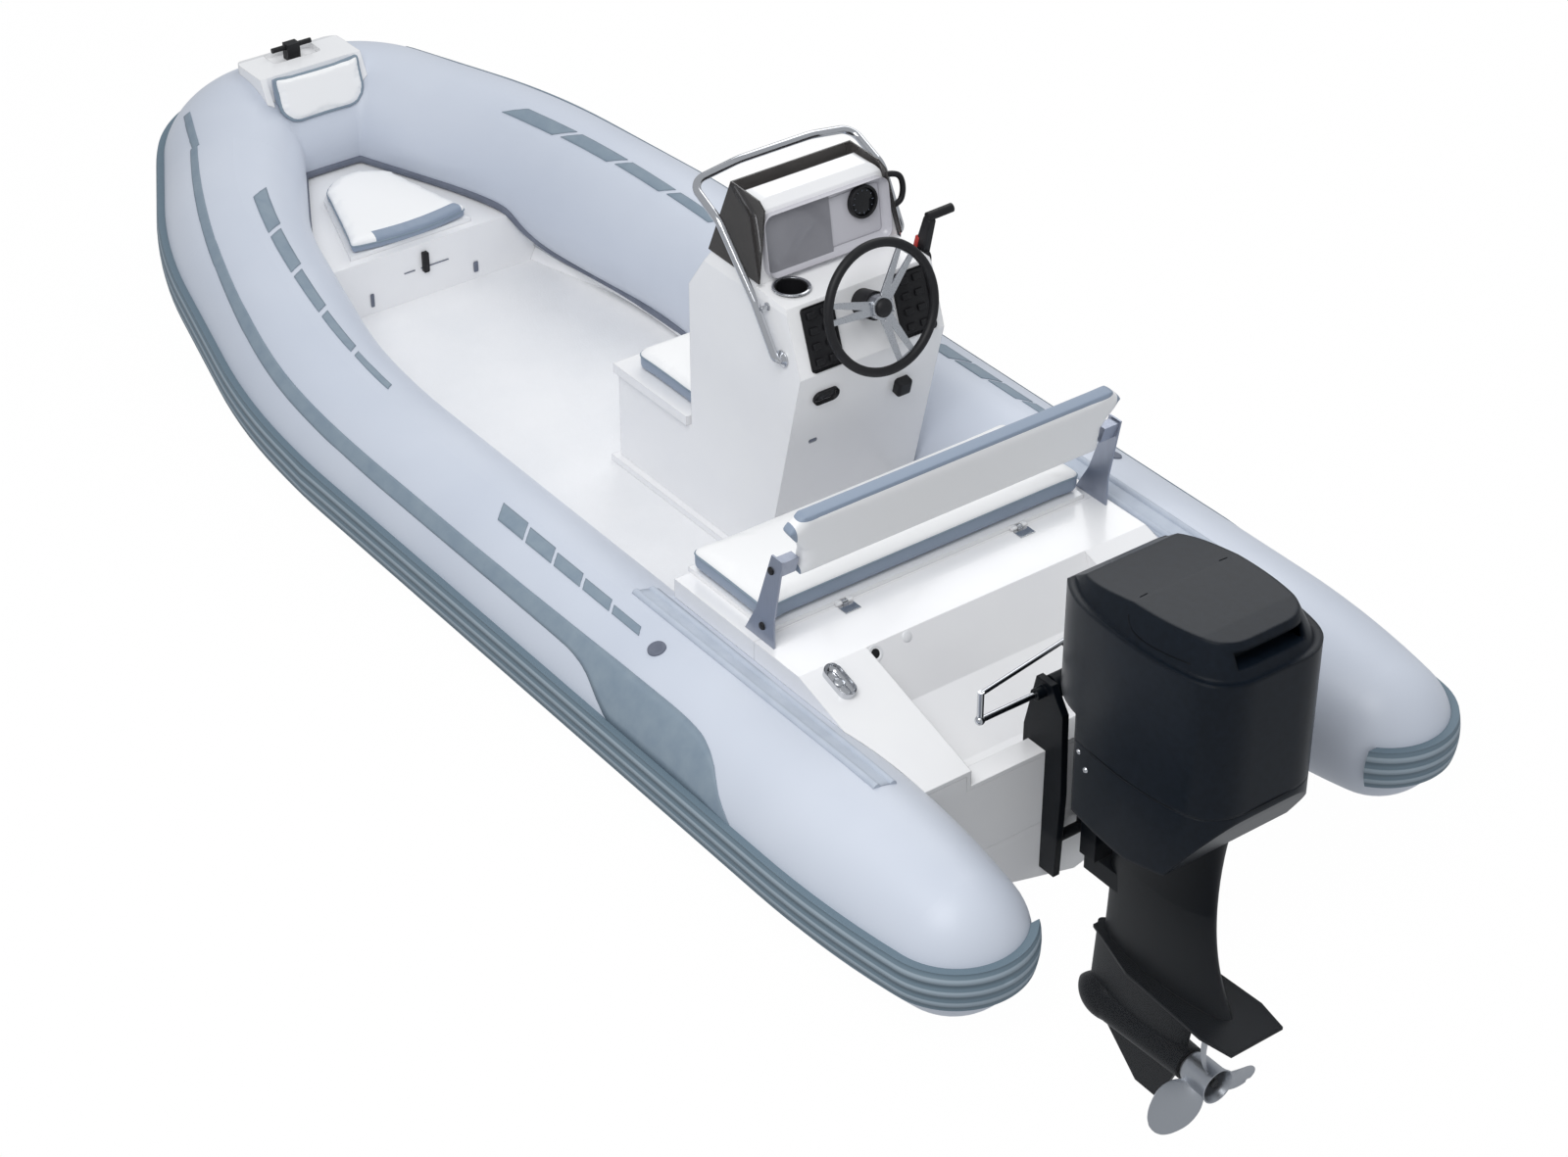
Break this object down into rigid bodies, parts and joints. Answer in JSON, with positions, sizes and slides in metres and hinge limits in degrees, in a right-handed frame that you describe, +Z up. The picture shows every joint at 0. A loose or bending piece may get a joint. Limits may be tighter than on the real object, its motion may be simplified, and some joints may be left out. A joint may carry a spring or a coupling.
{
  "type": "rigid inflatable boat with outboard motor",
  "caption": "Rigid inflatable boat with a side console, aft bench, bow locker and a tilting, steering outboard motor.",
  "frame": {"origin": "centreline, transom's aft face, still waterline", "axes": "+X forward, +Y to port, +Z up"},
  "size_m": [5.174, 2.008, 2.0065],
  "materials": {
    "tube_fabric": "matte coated fabric",
    "strake_rubber": "ribbed rubber",
    "white_gelcoat": "gloss gelcoat",
    "cushion_vinyl": "soft grained vinyl",
    "stainless": "polished stainless steel",
    "black_plastic": "moulded black plastic",
    "smoked_screen": "smoked acrylic",
    "panel_grey": "satin grey plastic",
    "cowl_paint": "satin blue-black paint",
    "motor_casting": "semi-gloss black paint",
    "propeller_metal": "bare satin aluminium",
    "spoke_metal": "brushed aluminium"
  },
  "bodies": {
    "boat": {"tube_port": "tube_fabric", "tube_starboard": "tube_fabric", "tube_bow": "tube_fabric", "strake_port": "strake_rubber", "strake_starboard": "strake_rubber", "strake_bow": "strake_rubber", "hull": "white_gelcoat", "cockpit_sole": "white_gelcoat", "transom": "white_gelcoat", "aft_deck": "white_gelcoat", "bench_base": "white_gelcoat", "bench_hinge_port": "stainless", "bench_hinge_starboard": "stainless", "backrest": "cushion_vinyl", "backrest_bracket_port": "stainless", "backrest_bracket_starboard": "stainless", "bow_locker": "white_gelcoat", "bow_step": "white_gelcoat", "bow_pad": "cushion_vinyl", "bow_cleat": "black_plastic", "console": "white_gelcoat", "windshield": "smoked_screen", "console_rail": "stainless", "instrument_panel": "panel_grey", "compass": "black_plastic", "helm_housing": "black_plastic", "throttle": "black_plastic", "clamp_bracket": "motor_casting"},
    "bench_lid": {"bench_lid": "white_gelcoat", "bench_cushion": "cushion_vinyl"},
    "bow_lid": {"bow_locker_lid": "white_gelcoat", "bow_cushion": "cushion_vinyl", "bow_latch": "black_plastic"},
    "console_lid": {"console_seat_lid": "white_gelcoat", "console_seat_cushion": "cushion_vinyl"},
    "steering_wheel": {"wheel_rim": "black_plastic", "wheel_spokes": "spoke_metal"},
    "swivel": {"swivel_bracket": "motor_casting"},
    "motor": {"steering_arm": "motor_casting", "midsection": "motor_casting", "gearcase": "motor_casting", "cowl_lower": "cowl_paint", "cowl_upper": "cowl_paint", "powerhead": "motor_casting"},
    "propeller": {"propeller": "propeller_metal"},
    "steering_ram": {"steering_ram": "stainless", "drag_link": "stainless"},
    "tilt_barrel": {"tilt_barrel": "motor_casting"},
    "tilt_rod": {"tilt_rod": "stainless"}
  },
  "joints": [
    {"name": "motor_tilt", "type": "hinge", "parent": "boat", "child": "swivel", "pos_m": [0.02, 0, 0.45], "axis": [0, 1, 0], "range_deg": [0, 60]},
    {"name": "motor_steer", "type": "hinge", "parent": "swivel", "child": "motor", "pos_m": [-0.115, 0, 0.45], "axis": [0, 0, 1], "range_deg": [-30, 30]},
    {"name": "propeller_spin", "type": "hinge", "parent": "motor", "child": "propeller", "pos_m": [-0.565, 0, -0.55], "axis": [1, 0, 0], "continuous": true},
    {"name": "steering_wheel_turn", "type": "hinge", "parent": "boat", "child": "steering_wheel", "pos_m": [1.182, -0.23, 0.947], "axis": [-0.9613, 0, 0.2756], "range_deg": [-545, 545]},
    {"name": "steering_ram_slide", "type": "slide", "parent": "swivel", "child": "steering_ram", "axis": [0, 1, 0], "range_m": [-0.11, 0.11]},
    {"name": "tilt_cylinder_swing", "type": "hinge", "parent": "boat", "child": "tilt_barrel", "pos_m": [-0.035, 0, -0.02], "axis": [0, 1, 0], "range_deg": [-9, 1]},
    {"name": "tilt_rod_slide", "type": "slide", "parent": "tilt_barrel", "child": "tilt_rod", "axis": [-0.0371, 0, 0.9993], "range_m": [-0.002, 0.128]},
    {"name": "bow_locker_lid_hinge", "type": "hinge", "parent": "boat", "child": "bow_lid", "pos_m": [3.842, 0, 0.292], "axis": [0, 1, 0], "range_deg": [0, 65]},
    {"name": "console_seat_lid_hinge", "type": "hinge", "parent": "boat", "child": "console_lid", "pos_m": [2.159, 0, 0.356], "axis": [0, 1, 0], "range_deg": [0, 90]},
    {"name": "bench_lid_hinge", "type": "hinge", "parent": "boat", "child": "bench_lid", "pos_m": [0.645, 0, 0.4603], "axis": [0, -1, 0], "range_deg": [0, 60]}
  ],
  "couplings": [
    {"joint": "steering_wheel_turn", "follows": "motor_steer", "ratio": -18},
    {"joint": "steering_ram_slide", "follows": "motor_steer", "m_per_rad": 0.196},
    {"joint": "tilt_cylinder_swing", "follows": "motor_tilt", "ratio": -0.132},
    {"joint": "tilt_rod_slide", "follows": "motor_tilt", "m_per_rad": 0.12}
  ]
}
